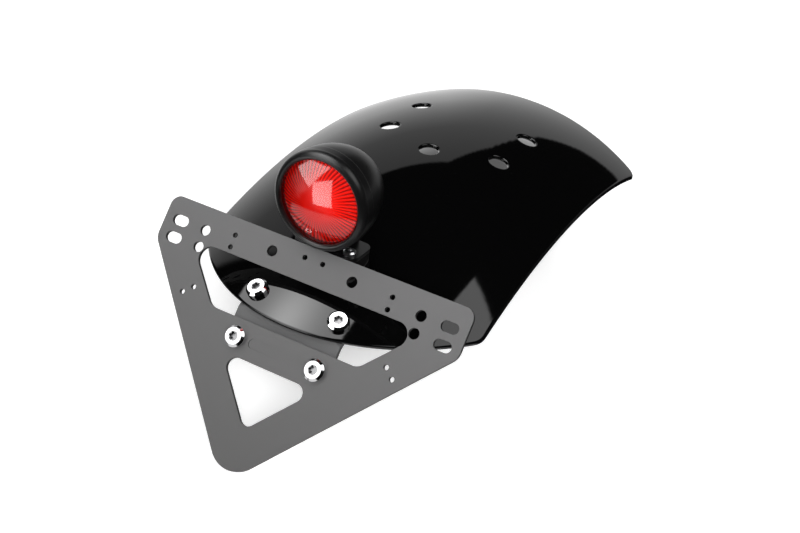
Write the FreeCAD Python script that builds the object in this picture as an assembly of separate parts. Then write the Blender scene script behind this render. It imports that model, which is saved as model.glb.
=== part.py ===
"""Motorcycle rear fender with a number-plate bracket and a bullet tail lamp.

Frame: X to the right, Y to the front of the machine, Z up, millimetres.
The origin is the middle of the four frame-bolt holes, level with the fender's
outer surface at those holes. The wheel's axle runs along X straight below it.
"""
import FreeCAD, Part
import math
import os

Vector = FreeCAD.Vector

# Fender shell: a shallow crowned strip of a wheel-sized hoop.
crown_radius = 417.0          # axle to the outer crown, on the middle line
section_radius = 178.0        # curve of the crown from side to side
fender_wall = 3.0
fender_half_width = 96.7
tail_reach = 206.6            # origin to the tail's rearmost point, in plan
tail_steps = 4                # places each side of the middle where the tail's edge is worked out
tail_droop = 2.0              # the tail's edge is level, but for this drop at its corners
tail_corner = 16.0
nose_reach = 113.6            # origin to the front edge, in plan
nose_radius = 520.0           # the front edge's outline in plan
nose_corner = 7.0
hoop_margin = 12.0            # hoop left over beyond the outline before it is trimmed
trim_depth = 150.0            # reach of the tail's trimming above and below its edge

# Frame-bolt holes in the crown.
frame_hole_d = 13.0
frame_pitch_wide = 81.0
frame_pitch_long = 45.0
centre_hole_back = 21.0       # centre hole, behind the rear row

# Number-plate bracket: one flat laser-cut plate, leaning back.
plate_lean = 36.5             # degrees from upright
plate_top_y = -174.5          # front face, top edge
plate_top_z = -14.2
plate_wall = 2.5
plate_width = 204.0
plate_side = 28.0             # length of the short upright sides
plate_taper = 0.88            # inward run of the long sides for each mm down
plate_corner = 6.5
plate_shoulder_corner = 10.0
plate_tip_corner = 17.0
arm_width = 28.4              # of the sloping arms, measured level
window_top = 21.0             # upper window, below the top edge
window_bottom = 53.5
window_taper = 0.92
window_top_corner = 7.5
window_bottom_corner = 8.0
web_depth = 21.4              # solid web that carries the two plate bolts
triangle_taper = 0.89
triangle_corner = 5.5

# Holes in the plate bracket: distance from the middle line, distance below the top edge, diameter.
plate_hole_d = 6.6
plate_hole_side = 73.0
small_hole_d = 3.2
inner_pair = (6.0, 7.3, small_hole_d)
middle_pair = (27.0, 10.6, plate_hole_d)
upper_small_pair = (53.2, 10.0, small_hole_d)
lower_small_pair = (53.2, 17.5, small_hole_d)
upper_plate_holes = (plate_hole_side, 13.8, plate_hole_d)
lower_plate_holes = (plate_hole_side, 24.3, plate_hole_d)
outer_arm_pair = (71.2, 52.2, small_hole_d)
inner_arm_pair = (65.5, 47.2, small_hole_d)
slot_side = 91.0
slot_rows = (13.8, 24.6)
slot_width = 6.5
slot_length = 11.0
recess_length = 36.0          # bare recess between the plate bolts
recess_width = 6.0
recess_depth = 0.3

# Tail bracket: folded steel under the fender's tail, behind the plate.
bracket_wall = 3.0
bracket_half_width = 34.5
bracket_front = 13.0          # saddle beyond the fender bolts
bracket_drop = 9.0            # lower flange beyond the plate bolts
bracket_corner = 5.0
saddle_span = 6.0             # degrees of hoop each side of the fender bolts, before trimming
core_depth = 50.0
seat_gap = 0.1                # painted faces that lie on each other

# Cap screws, nuts and washers that hold fender, bracket and plate.
bolt_d = 8.0
bolt_head_d = 13.0
bolt_head_h = 3.8
bolt_head_chamfer = 1.4
bolt_hole_d = 8.6
bolt_end = 3.0                # thread past the nut
drive_outer = 2.85            # six-lobe recess: radius to its lobes and between them
drive_inner = 2.05
drive_depth = 2.4
washer_d = 15.0
washer_wall = 1.6
nut_flats = 13.0
nut_h = 8.0
nut_collar = 2.0              # smooth collar that holds the locking ring
nut_collar_d = 11.6
thread_gap = 0.1
same_place = 0.001            # points closer than this count as one
plate_bolt_side = 27.0
plate_bolt_drop = 64.3
fender_bolt_side = 27.5
fender_bolt_angle = 27.6      # degrees behind the top of the hoop

# Tail lamp: a bullet housing lying level, its lens facing straight back.
lamp_overhang = 8.3           # lens rim plane behind the base
lamp_z = 18.1
lens_d = 50.4                 # red area inside the bezel
lens_bulge = 6.0
lens_wall = 2.2
lens_flange = 1.6             # the lens's rim, trapped by the bezel
lens_flange_wall = 2.0
rib_count = 36
rib_depth = 1.0
rib_inner = 6.0
rib_swirl = 32.0              # degrees that a rib turns from its inner to its outer end
bezel_d = 60.0
bezel_lip = 2.4               # bezel in front of the lens rim plane
bezel_nose = 1.6              # lens edge to the foremost ring of the bezel
bezel_widest = 3.5            # lens rim plane to the bezel's full diameter
bezel_back = 9.5              # lens rim plane to the bezel's rear edge
bezel_back_round = 1.4
bezel_wall = 2.6
body_d = 58.5
body_length = 38.0            # bezel to the tip of the bullet
body_tip = 24.0               # radius of the bullet's tip
body_wall = 2.2
gasket_wall = 1.5
reflector_wall = 1.2
reflector_depth = 15.0
board_wall = 1.6
led_side = 3.5                # square chips on the board
led_h = 1.9
led_window_d = 5.4            # holes in the reflector
led_ring_radius = 14.0
led_ring_count = 6
led_margin = 5.0              # chip centre to the reflector's floor edge
board_screw_d = 3.0
board_boss_d = 6.6
board_screw_side = 9.0
board_screw_hole = 10.0       # from the reflector's floor into the boss
board_screw_bite = 9.0
board_screw_head_d = 5.4
board_screw_head_h = 1.8

# Lamp base, foot, their screws and the clear number-plate light.
base_half_width = 21.0
base_gap = 3.5                # plate bracket's top edge to the base
base_length = 24.0
base_wall = 2.5
base_top_z = -16.0
base_corner = 6.0
neck_half_width = 11.0
neck_setback = 11.0           # base's rear edge to the neck
pad_wall = 1.5                # rubber pad under the foot
base_screw_side = 15.0
base_screw_setback = 6.5      # base's rear edge to its screws
base_screw_d = 4.0
base_screw_head_d = 8.0
base_screw_head_h = 2.6
base_screw_bite = 5.0
screw_hole_run_out = 1.0      # screw holes past their screws' ends
foot_bolt_side = 9.0
foot_bolt_angle = 22.7        # degrees behind the top of the hoop
foot_bolt_d = 5.0
foot_bolt_flats = 8.0
foot_bolt_head_h = 3.5
foot_bolt_bite = 5.0
foot_hole_play = 0.5
foot_washer_d = 10.0
foot_washer_wall = 1.0
window_light_half_width = 8.0
window_light_setback = 1.5    # base's rear edge to the clear block
window_light_length = 8.0
window_light_drop = 4.0       # clear block below the housing
window_light_wall = 1.5
window_light_ledge = 1.0      # board edge to the clear block's side
window_led_side = 4.5
window_led = 2.2              # chip size
window_led_h = 1.4
grommet_angle = 21.4          # degrees behind the top of the hoop
grommet_d = 10.0
grommet_hole_d = 6.0
grommet_lip = 1.5

# Worked out from the sizes above.
lean = math.radians(plate_lean)
far = 3.0 * crown_radius
base_back = plate_top_y + base_gap
base_front = base_back + base_length
neck_back = base_back + neck_setback
base_screw_y = base_back + base_screw_setback
window_light_back = base_back + window_light_setback
window_light_front = window_light_back + window_light_length
lamp_y = base_back - lamp_overhang
foot_hole_d = foot_bolt_d + foot_hole_play


def crown_drop(side, radius=section_radius):
    """How far the crown falls at a distance from the middle line."""
    return radius - math.sqrt(radius ** 2 - side ** 2)


row_radius = crown_radius - crown_drop(frame_pitch_wide / 2)
axle_z = -math.sqrt(row_radius ** 2 - (frame_pitch_long / 2) ** 2)
inner_radius = crown_radius - fender_wall
saddle_radius = inner_radius - seat_gap


def plate_point(side, down, out=0.0):
    """A point of the plate: side from the middle line, down from the top edge, out of the front face."""
    y = plate_top_y - down * math.sin(lean) - out * math.cos(lean)
    z = plate_top_z - down * math.cos(lean) + out * math.sin(lean)
    return Vector(side, y, z)


plate_out = Vector(0, -math.cos(lean), math.sin(lean))


def plate_frame(shape):
    """Lays a shape drawn in XY, its top edge at Y 0, on the front face of the plate."""
    turn = FreeCAD.Rotation(Vector(1, 0, 0), 90 - plate_lean)
    return moved(shape, FreeCAD.Placement(plate_point(0, 0), turn))


def moved(shape, placement):
    """A copy of the shape with its placement worked into its geometry."""
    return shape.transformed(placement.toMatrix(), True)


def rod(diameter, length, start, direction):
    return Part.makeCylinder(diameter / 2, length, start, direction)


def hoop(outer, inner, back_angle, front_angle, section=section_radius):
    """The crowned hoop between two radii, from an angle behind the top to one in front of it."""
    centre_z = axle_z + outer - section
    reach = fender_half_width + hoop_margin
    depth = outer - inner

    def arc(radius):
        z = centre_z + math.sqrt(radius ** 2 - reach ** 2)
        ends = Vector(-reach, 0, z), Vector(reach, 0, z)
        return Part.Arc(ends[0], Vector(0, 0, centre_z + radius), ends[1]).toShape(), ends

    top, top_ends = arc(section)
    low, low_ends = arc(section - depth)
    sides = [Part.makeLine(a, b) for a, b in zip(top_ends, low_ends)]
    face = Part.Face(Part.Wire(Part.__sortEdges__([top, sides[0], low, sides[1]])))
    axle = Vector(0, 0, axle_z)
    face.rotate(axle, Vector(1, 0, 0), back_angle)
    return face.revolve(axle, Vector(1, 0, 0), -(back_angle + front_angle))


def rounded_outline(points, radii):
    """A closed wire of straight runs, with an arc of its own radius at each corner."""
    edges = []
    starts = []
    ends = []
    count = len(points)
    for index, (corner, radius) in enumerate(zip(points, radii)):
        before = (points[index - 1] - corner).normalize()
        after = (points[(index + 1) % count] - corner).normalize()
        half = before.getAngle(after) / 2
        run = radius / math.tan(half)
        middle = (before + after).normalize()
        centre = corner + middle * (radius / math.sin(half))
        starts.append(corner + before * run)
        ends.append(corner + after * run)
        edges.append(Part.Arc(starts[-1], centre - middle * radius, ends[-1]).toShape())
    for index in range(count):
        edges.append(Part.makeLine(ends[index], starts[(index + 1) % count]))
    return Part.Wire(Part.__sortEdges__(edges))


def slab(wire, depth, below=0.0):
    """A wire in XY made into a solid that is depth thick, starting below Z 0."""
    face = Part.Face(wire)
    face.translate(Vector(0, 0, -below))
    return face.extrude(Vector(0, 0, depth))


def block(x0, x1, y0, y1, z0, z1):
    return Part.makeBox(x1 - x0, y1 - y0, z1 - z0, Vector(x0, y0, z0))


# Fender shell
def fender_outline():
    """The fender's outline in plan before its tail is trimmed: straight sides and an arched nose."""
    width = fender_half_width
    nose_y = nose_reach - crown_drop(width, nose_radius)
    tail_y = -tail_reach - hoop_margin
    corners = [Vector(width, nose_y, 0), Vector(width, tail_y, 0),
               Vector(-width, tail_y, 0), Vector(-width, nose_y, 0)]
    edges = [Part.makeLine(a, b) for a, b in zip(corners, corners[1:])]
    edges.append(Part.Arc(corners[0], Vector(0, nose_reach, 0), corners[3]).toShape())
    return Part.Wire(Part.__sortEdges__(edges))


tail_z = axle_z + math.sqrt(crown_radius ** 2 - tail_reach ** 2)
tail_slope = math.asin(tail_reach / crown_radius)
tail_out = Vector(0, -math.sin(tail_slope), math.cos(tail_slope))


def tail_line(side):
    """The tail's edge on the outer surface, carried square to the shell to the level of its middle."""
    z = tail_z - tail_droop * (side / fender_half_width) ** 2
    radius = crown_radius - crown_drop(side)
    point = Vector(side, -math.sqrt(radius ** 2 - (z - axle_z) ** 2), z)
    return point + tail_out * ((tail_z - z) / tail_out.z)


def tail_cutter():
    """Everything behind the tail's edge, with walls square to the shell at its middle."""
    reach = fender_half_width + hoop_margin / 2
    curve = Part.BSplineCurve()
    curve.interpolate([tail_line(reach * (step / tail_steps - 1)) for step in range(2 * tail_steps + 1)])
    start = tail_line(-reach)
    end = tail_line(reach)
    back = Vector(0, -far, 0)
    outline = [curve.toShape(), Part.makeLine(start, start + back), Part.makeLine(end, end + back),
               Part.makeLine(start + back, end + back)]
    face = Part.Face(Part.Wire(Part.__sortEdges__(outline)))
    face.translate(-tail_out * trim_depth)
    return face.extrude(tail_out * (2 * trim_depth))


def hoop_angle(reach):
    """Degrees round the hoop that a distance in plan stands for, with the margin added."""
    return math.degrees(math.asin((reach + hoop_margin) / (crown_radius - section_radius / 2)))


def crown_axis(side, degrees_back):
    """Where a fastener square to the shell meets its outer surface, and the outward direction there."""
    back = math.radians(degrees_back)
    across = math.asin(side / section_radius)
    flat = math.cos(across)
    out = Vector(math.sin(across), -flat * math.sin(back), flat * math.cos(back))
    radius = crown_radius - crown_drop(side)
    point = Vector(side, -radius * math.sin(back), axle_z + radius * math.cos(back))
    return point, out


def drill(diameter, axis, above, below):
    """A cutting rod along an axis, from above the point to below it."""
    point, out = axis
    return rod(diameter, above + below, point + out * above, -out)


def frame_holes():
    """Middle points of the five frame-bolt holes, in plan."""
    wide = frame_pitch_wide / 2
    long = frame_pitch_long / 2
    corners = [(x, y) for x in (-wide, wide) for y in (-long, long)]
    return corners + [(0.0, -long - centre_hole_back)]


def crown_height(side, along):
    """Height of the outer surface at a place in plan."""
    return axle_z + math.sqrt((crown_radius - crown_drop(side)) ** 2 - along ** 2)


def fender_bolt_axis(way):
    return crown_axis(way * fender_bolt_side, fender_bolt_angle)


def foot_bolt_axis(way):
    return crown_axis(way * foot_bolt_side, foot_bolt_angle)


grommet_axis = crown_axis(0.0, grommet_angle)


def trim_block():
    """A deep block of the fender's trimmed outline, with its four corners rounded."""
    deep = slab(fender_outline(), 2 * trim_depth, trim_depth).cut(tail_cutter())
    for way, radius in ((-1, tail_corner), (1, nose_corner)):
        corners = [edge for edge in deep.Edges if edge.CenterOfMass.y * way > 0 and edge.Length > trim_depth
                   and abs(edge.tangentAt(edge.FirstParameter).z) > 0.5]
        deep = deep.makeFillet(radius, corners)
    return deep


def fender_shell():
    shell = hoop(crown_radius, inner_radius, hoop_angle(tail_reach), hoop_angle(nose_reach))
    shell = shell.common(trim_block())
    up = Vector(0, 0, 1)
    drills = [rod(frame_hole_d, far, Vector(x, y, -far / 2), up) for x, y in frame_holes()]
    drills.append(drill(grommet_d, grommet_axis, fender_wall, 2 * fender_wall))
    for way in (-1, 1):
        drills.append(drill(bolt_hole_d, fender_bolt_axis(way), fender_wall, 2 * fender_wall))
        drills.append(drill(foot_hole_d, foot_bolt_axis(way), fender_wall, 2 * fender_wall))
    return shell.cut(drills)


# Number-plate bracket
def oval(length, width):
    """A slot's outline about the origin, its length along X."""
    radius = width / 2
    run = length / 2 - radius
    edges = []
    for way in (-1, 1):
        low = Vector(way * run, -radius, 0)
        tip = Vector(way * (run + radius), 0, 0)
        high = Vector(way * run, radius, 0)
        edges.append(Part.Arc(low, tip, high).toShape())
        edges.append(Part.makeLine(Vector(-run, way * radius, 0), Vector(run, way * radius, 0)))
    return Part.Wire(Part.__sortEdges__(edges))


def shifted(shape, x, y, z=0.0):
    copy = shape.copy()
    copy.translate(Vector(x, y, z))
    return copy


def plate_bracket():
    half = plate_width / 2
    tip = plate_side + half / plate_taper
    corners = [Vector(-half, 0, 0), Vector(half, 0, 0), Vector(half, -plate_side, 0), Vector(0, -tip, 0),
               Vector(-half, -plate_side, 0)]
    radii = [plate_corner, plate_corner, plate_shoulder_corner, plate_tip_corner, plate_shoulder_corner]
    plate = slab(rounded_outline(corners, radii), plate_wall, plate_wall)

    def inner_half(down):
        return half - (down - plate_side) * plate_taper - arm_width

    wide = inner_half(window_top)
    narrow = wide - (window_bottom - window_top) * window_taper
    window = [Vector(-wide, -window_top, 0), Vector(wide, -window_top, 0),
              Vector(narrow, -window_bottom, 0), Vector(-narrow, -window_bottom, 0)]
    window_radii = [window_top_corner, window_top_corner, window_bottom_corner, window_bottom_corner]
    top = window_bottom + web_depth
    side = inner_half(top)
    triangle = [Vector(-side, -top, 0), Vector(side, -top, 0), Vector(0, -top - side / triangle_taper, 0)]
    cutters = [slab(rounded_outline(window, window_radii), 3 * plate_wall, 2 * plate_wall),
               slab(rounded_outline(triangle, [triangle_corner] * 3), 3 * plate_wall, 2 * plate_wall)]
    bolt_pair = (plate_bolt_side, plate_bolt_drop, bolt_hole_d)
    pairs = (inner_pair, middle_pair, upper_small_pair, lower_small_pair, upper_plate_holes,
             lower_plate_holes, outer_arm_pair, inner_arm_pair, bolt_pair)
    slot = slab(oval(slot_length, slot_width), 3 * plate_wall, 2 * plate_wall)
    for way in (-1, 1):
        for side, down, diameter in pairs:
            start = Vector(way * side, -down, -2 * plate_wall)
            cutters.append(rod(diameter, 3 * plate_wall, start, Vector(0, 0, 1)))
        cutters += [shifted(slot, way * slot_side, -down) for down in slot_rows]
    recess = slab(oval(recess_length, recess_width), 2 * recess_depth, recess_depth)
    cutters.append(shifted(recess, 0, -plate_bolt_drop))
    return plate_frame(plate.cut(cutters))


# Folded bracket that joins fender and plate
def core(radius, section):
    """Everything under a crowned surface, down to well below the bracket."""
    return hoop(radius, radius - core_depth, hoop_angle(tail_reach), hoop_angle(0), section)


def tail_bracket():
    half = bracket_half_width
    section = section_radius - fender_wall - seat_gap
    saddle = hoop(saddle_radius, saddle_radius - bracket_wall, saddle_span, saddle_span, section)
    saddle = saddle.common(block(-half, half, -2 * bracket_front, bracket_front, -far, far))
    saddle.rotate(Vector(0, 0, axle_z), Vector(1, 0, 0), fender_bolt_angle)
    in_front = plate_frame(block(-far, far, -far, far, -plate_wall, far))
    low = -plate_bolt_drop - bracket_drop
    high = -window_top
    corners = [Vector(-half, high, 0), Vector(half, high, 0), Vector(half, low, 0), Vector(-half, low, 0)]
    radii = [bracket_corner] * 4
    flange = plate_frame(slab(rounded_outline(corners, radii), bracket_wall, plate_wall + bracket_wall))
    flange = flange.common(core(saddle_radius, section))
    bracket = saddle.cut(in_front).fuse(flange).removeSplitter()
    drills = []
    for way in (-1, 1):
        drills.append(drill(bolt_hole_d, fender_bolt_axis(way), fender_wall, 5 * bracket_wall))
        plate_axis = plate_point(way * plate_bolt_side, plate_bolt_drop), plate_out
        drills.append(drill(bolt_hole_d, plate_axis, fender_wall, 5 * bracket_wall))
    return bracket.cut(drills)


# Fasteners
def on_axis(shape, axis, below=0.0):
    """A piece drawn along Z, set on an axis with its Z 0 at a depth below the point."""
    point, out = axis
    turn = FreeCAD.Rotation(Vector(0, 0, 1), out)
    return moved(shape, FreeCAD.Placement(point - out * below, turn))


def turned(points):
    """A solid turned about Z from a profile of radius and height."""
    corners = [Vector(radius, 0, height) for radius, height in points]
    face = Part.Face(Part.makePolygon(corners + corners[:1]))
    return face.revolve(Vector(0, 0, 0), Vector(0, 0, 1), 360)


def six_lobe(outer, inner):
    """A six-lobe outline: arcs out to one radius, and arcs in to the other between them."""
    middle = (outer + inner) / 2

    def at(radius, degrees):
        angle = math.radians(degrees)
        return Vector(radius * math.cos(angle), radius * math.sin(angle), 0)

    edges = []
    for turn in range(0, 360, 60):
        edges.append(Part.Arc(at(middle, turn - 15), at(outer, turn), at(middle, turn + 15)).toShape())
        edges.append(Part.Arc(at(middle, turn + 15), at(inner, turn + 30), at(middle, turn + 45)).toShape())
    return Part.Wire(Part.__sortEdges__(edges))


def cap_screw(diameter, length, head_d, head_h, chamfer, socket, depth):
    """A cap screw along Z: the head stands on Z 0 and the shank hangs below. The socket is an outline."""
    shank = diameter / 2
    head = head_d / 2
    lead = shank / 4
    screw = turned([(0, -length), (shank - lead, -length), (shank, lead - length), (shank, 0), (head, 0),
                    (head, head_h - chamfer), (head - chamfer, head_h), (0, head_h)])
    return screw.cut(shifted(slab(socket, depth), 0, 0, head_h - depth))


def hexagon(flats):
    """A hexagon's outline about the origin."""
    point = flats / math.sqrt(3)
    corners = [Vector(point * math.cos(math.radians(turn)), point * math.sin(math.radians(turn)), 0)
               for turn in range(0, 360, 60)]
    return Part.makePolygon(corners + corners[:1])


def lock_nut():
    """A lock nut that hangs below Z 0, with the smooth collar at its lower end."""
    flats = shifted(slab(hexagon(nut_flats), nut_h - nut_collar), 0, 0, nut_collar - nut_h)
    collar = rod(nut_collar_d, nut_h, Vector(0, 0, -nut_h), Vector(0, 0, 1))
    bore = rod(bolt_d + 2 * thread_gap, 2 * nut_h, Vector(0, 0, -1.5 * nut_h), Vector(0, 0, 1))
    return flats.fuse(collar).removeSplitter().cut(bore)


def crowned_head(flats, height):
    """A hexagon head that hangs below Z 0, its corners turned off at the lower end."""
    point = flats / math.sqrt(3)
    slope = point - flats / 2
    form = turned([(0, -height), (flats / 2, -height), (point, slope / 2 - height), (point, 0), (0, 0)])
    return shifted(slab(hexagon(flats), height), 0, 0, -height).common(form)


def washer(outer, inner, wall):
    """A flat washer that hangs below Z 0."""
    return turned([(inner / 2, -wall), (outer / 2, -wall), (outer / 2, 0), (inner / 2, 0)])


fender_stack = fender_wall + seat_gap + bracket_wall
fender_stack += crown_drop(washer_d / 2, section_radius - fender_stack)
plate_stack = plate_wall + bracket_wall


def bolt_axes():
    """The four bolts: name, axis and the thickness that each one clamps."""
    axes = []
    for name, way in (("left", -1), ("right", 1)):
        axes.append(("fender", name, fender_bolt_axis(way), fender_stack))
        plate_axis = plate_point(way * plate_bolt_side, plate_bolt_drop), plate_out
        axes.append(("plate", name, plate_axis, plate_stack))
    return axes


def fastener_nodes():
    nodes = {}
    socket = six_lobe(drive_outer, drive_inner)
    for group, name, axis, stack in bolt_axes():
        length = stack + washer_wall + nut_h + bolt_end
        screw = cap_screw(bolt_d, length, bolt_head_d, bolt_head_h, bolt_head_chamfer, socket, drive_depth)
        nodes[group + "_bolt_" + name] = on_axis(screw, axis)
        nodes[group + "_washer_" + name] = on_axis(washer(washer_d, bolt_hole_d, washer_wall), axis, stack)
        nodes[group + "_nut_" + name] = on_axis(lock_nut(), axis, stack + washer_wall)
    return nodes


# Tail lamp, drawn about its own axis: radius, and distance to the front from the lens rim plane
lamp_middle = Vector(0, lamp_y, lamp_z)
lens_radius = lens_d / 2
body_radius = body_d / 2
bezel_radius = bezel_d / 2
spigot_radius = bezel_radius - bezel_wall - seat_gap
cavity_radius = spigot_radius - body_wall
rim_start = lens_flange_wall + gasket_wall
dome_radius = (lens_radius ** 2 + lens_bulge ** 2) / (2 * lens_bulge)


def lamp_turned(edges):
    """A solid turned about the lamp's axis from edges drawn in the plane of radius X and depth Y."""
    face = Part.Face(Part.Wire(Part.__sortEdges__(edges)))
    shape = face.revolve(Vector(0, 0, 0), Vector(0, 1, 0), 360)
    shape.translate(lamp_middle)
    return shape


def lamp_polygon(points):
    corners = [Vector(radius, depth, 0) for radius, depth in points]
    return [Part.makeLine(a, b) for a, b in zip(corners, corners[1:] + corners[:1])]


def bullet(radius, length, spigot, tip):
    """The bullet's solid form: a spigot to the bezel's rear edge, a long side arc, and a round tip."""
    side = (length ** 2 + radius ** 2 - 2 * length * tip) / (2 * (radius - tip))
    side_centre = Vector(radius - side, bezel_back, 0)
    tip_centre = Vector(0, bezel_back + length - tip, 0)
    join_way = (tip_centre - side_centre).normalize()
    join = tip_centre + join_way * tip
    bend = math.atan2(join_way.y, join_way.x)

    def on_arc(centre, size, turn):
        return centre + Vector(size * math.cos(turn), size * math.sin(turn), 0)

    end = Vector(0, bezel_back + length, 0)
    rim = Vector(radius, bezel_back, 0)
    foot = Vector(0, rim_start, 0)
    arcs = [Part.Arc(rim, on_arc(side_centre, side, bend / 2), join).toShape(),
            Part.Arc(join, on_arc(tip_centre, tip, (bend + math.pi / 2) / 2), end).toShape()]
    corners = [end, foot, Vector(spigot, rim_start, 0), Vector(spigot, bezel_back, 0), rim]
    lines = [Part.makeLine(a, b) for a, b in zip(corners, corners[1:]) if a.distanceToPoint(b) > same_place]
    return lamp_turned(lines + arcs)


def body_form():
    return bullet(body_radius, body_length, spigot_radius, body_tip)


def cavity(clearance=0.0):
    radius = cavity_radius - clearance
    return bullet(radius, body_length - body_wall - clearance, radius, body_tip - body_wall - clearance)


def base_prism(z0, z1):
    """The lamp base's outline in plan, between two heights."""
    corners = [Vector(x, y, 0) for x, y in ((-base_half_width, base_back), (base_half_width, base_back),
                                            (base_half_width, base_front), (-base_half_width, base_front))]
    return shifted(slab(rounded_outline(corners, [base_corner] * 4), z1 - z0), 0, 0, z0)


def base_screw_axis(way):
    return Vector(way * base_screw_side, base_screw_y, base_top_z), Vector(0, 0, 1)


def board_screw_axis(way):
    """Board screws lie level, their heads towards the lens."""
    return lamp_middle + Vector(way * board_screw_side, reflector_depth, 0), Vector(0, -1, 0)


def wire_hole():
    point = grommet_axis[0]
    return rod(grommet_hole_d, far, Vector(0, point.y, point.z - pad_wall), Vector(0, 0, 1))


board_front = reflector_depth + reflector_wall + seat_gap


def lamp_housing():
    body = body_form()
    neck = block(-neck_half_width, neck_half_width, neck_back, base_front, base_top_z - base_wall / 2,
                 lamp_z - body_radius / 2)
    flange = base_prism(base_top_z - base_wall, base_top_z)
    solid = body.multiFuse([neck, flange]).cut(cavity())
    bosses = []
    for way in (-1, 1):
        start = lamp_middle + Vector(way * board_screw_side, board_front + board_wall, 0)
        bosses.append(rod(board_boss_d, body_length, start, Vector(0, 1, 0)))
    solid = solid.multiFuse([boss.common(body) for boss in bosses])
    drills = []
    for way in (-1, 1):
        drills.append(drill(base_screw_d + 2 * thread_gap, base_screw_axis(way), base_wall, 2 * base_wall))
        drills.append(drill(board_screw_d + 2 * thread_gap, board_screw_axis(way), 0, board_screw_hole))
    point = grommet_axis[0]
    drills.append(rod(grommet_hole_d, lamp_z - point.z, Vector(0, point.y, point.z), Vector(0, 0, 1)))
    half = window_light_half_width - window_light_wall
    drills.append(block(-half, half, window_light_back + window_light_wall,
                        window_light_front - window_light_wall,
                        lamp_z - 2 * body_radius, lamp_z - body_radius / 2))
    return solid.cut(drills).removeSplitter()


def lamp_bezel():
    inner = lens_radius
    bore = spigot_radius + seat_gap

    def point(radius, depth):
        return Vector(radius, depth, 0)

    nose = point(inner + bezel_nose, -bezel_lip)
    widest = point(bezel_radius, bezel_widest)
    lip_middle = point(inner + bezel_nose * (1 - math.sqrt(0.5)), -bezel_lip * math.sqrt(0.5))
    run = Vector(widest.x - nose.x, widest.y - nose.y, 0)
    brow = point(nose.x + run.x * math.sqrt(0.5), widest.y - run.y * math.sqrt(0.5))
    turn = point(bezel_radius, bezel_back - bezel_back_round)
    back = point(bezel_radius - bezel_back_round, bezel_back)
    corner = point(turn.x - bezel_back_round * (1 - math.sqrt(0.5)),
                   turn.y + bezel_back_round * math.sqrt(0.5))
    edges = [Part.Arc(point(inner, 0), lip_middle, nose).toShape(),
             Part.Arc(nose, brow, widest).toShape(),
             Part.makeLine(widest, turn),
             Part.Arc(turn, corner, back).toShape(),
             Part.makeLine(back, point(bore, bezel_back)),
             Part.makeLine(point(bore, bezel_back), point(bore, 0)),
             Part.makeLine(point(bore, 0), point(inner, 0))]
    return lamp_turned(edges)


def dome(radius, offset, reach):
    """The arc of a dome's section from its rim, at a reach from the axis, to its crown, and both ends."""
    centre = dome_radius - lens_bulge
    size = radius - offset

    def at(angle):
        return Vector(size * math.sin(angle), centre - size * math.cos(angle), 0)

    rim = math.asin(reach / size)
    return Part.Arc(at(rim), at(rim / 2), at(0)).toShape(), at(rim), at(0)


def lamp_lens():
    rim = lens_radius - seat_gap
    outer, outer_rim, outer_top = dome(dome_radius, 0.0, rim)
    inner, inner_rim, inner_top = dome(dome_radius, lens_wall, rim - lens_wall)
    flange = lens_radius + lens_flange
    depth = lens_flange_wall
    points = [outer_rim, Vector(rim, 0, 0), Vector(flange, 0, 0), Vector(flange, depth, 0),
              Vector(rim - lens_wall, depth, 0), inner_rim]
    lines = [Part.makeLine(a, b) for a, b in zip(points, points[1:]) if a.distanceToPoint(b) > same_place]
    lens = lamp_turned([outer, inner, Part.makeLine(outer_top, inner_top)] + lines)
    low, low_rim, low_top = dome(dome_radius, lens_wall + rib_depth, rim - lens_wall)
    high, high_rim, high_top = dome(dome_radius, lens_wall / 2, rim - lens_wall)
    layer = lamp_turned([low, high, Part.makeLine(low_top, high_top), Part.makeLine(low_rim, high_rim)])
    reach = rim - lens_wall - seat_gap
    pitch = math.radians(360 / rib_count)
    swirl = math.radians(rib_swirl)

    def on_spiral(share, turn):
        radius = rib_inner + share * (reach - rib_inner)
        angle = swirl * share + turn
        return Vector(radius * math.cos(angle), -lens_bulge, radius * math.sin(angle))

    flanks = [Part.Arc(on_spiral(0, turn), on_spiral(0.5, turn), on_spiral(1, turn)).toShape()
              for turn in (-pitch / 4, pitch / 4)]
    ends = [Part.makeLine(on_spiral(share, -pitch / 4), on_spiral(share, pitch / 4)) for share in (0, 1)]
    blade = Part.Face(Part.Wire(Part.__sortEdges__(flanks + ends))).extrude(Vector(0, 2 * lens_bulge, 0))
    blade.translate(lamp_middle)
    rib = layer.common(blade)
    ribs = []
    for index in range(rib_count):
        copy = rib.copy()
        copy.rotate(lamp_middle, Vector(0, 1, 0), 360 * index / rib_count)
        ribs.append(copy)
    return lens.multiFuse(ribs)


def lens_gasket():
    inner = cavity_radius
    outer = lens_radius + lens_flange
    return lamp_turned(lamp_polygon([(inner, lens_flange_wall), (outer, lens_flange_wall),
                                     (outer, rim_start), (inner, rim_start)]))


def led_places():
    places = [lamp_middle]
    for index in range(led_ring_count):
        angle = 2 * math.pi * (index + 0.5) / led_ring_count
        offset = Vector(led_ring_radius * math.cos(angle), 0, led_ring_radius * math.sin(angle))
        places.append(lamp_middle + offset)
    return places


def lamp_reflector():
    rim = cavity_radius - seat_gap
    wall = reflector_wall
    floor = led_ring_radius + led_margin
    start = rim_start + 2 * seat_gap
    bowl = lamp_turned(lamp_polygon([(0, reflector_depth), (floor, reflector_depth), (rim - 2 * wall, start),
                                     (rim, start), (rim, start + wall), (rim - wall, start + wall),
                                     (floor + wall / 2, reflector_depth + wall),
                                     (0, reflector_depth + wall)]))
    front = Vector(0, 1, 0)
    drills = [rod(led_window_d, far, place, front) for place in led_places()]
    screw_hole_d = board_screw_d + 2 * thread_gap
    drills += [drill(screw_hole_d, board_screw_axis(way), wall, 2 * wall) for way in (-1, 1)]
    return bowl.cut(drills)


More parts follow.
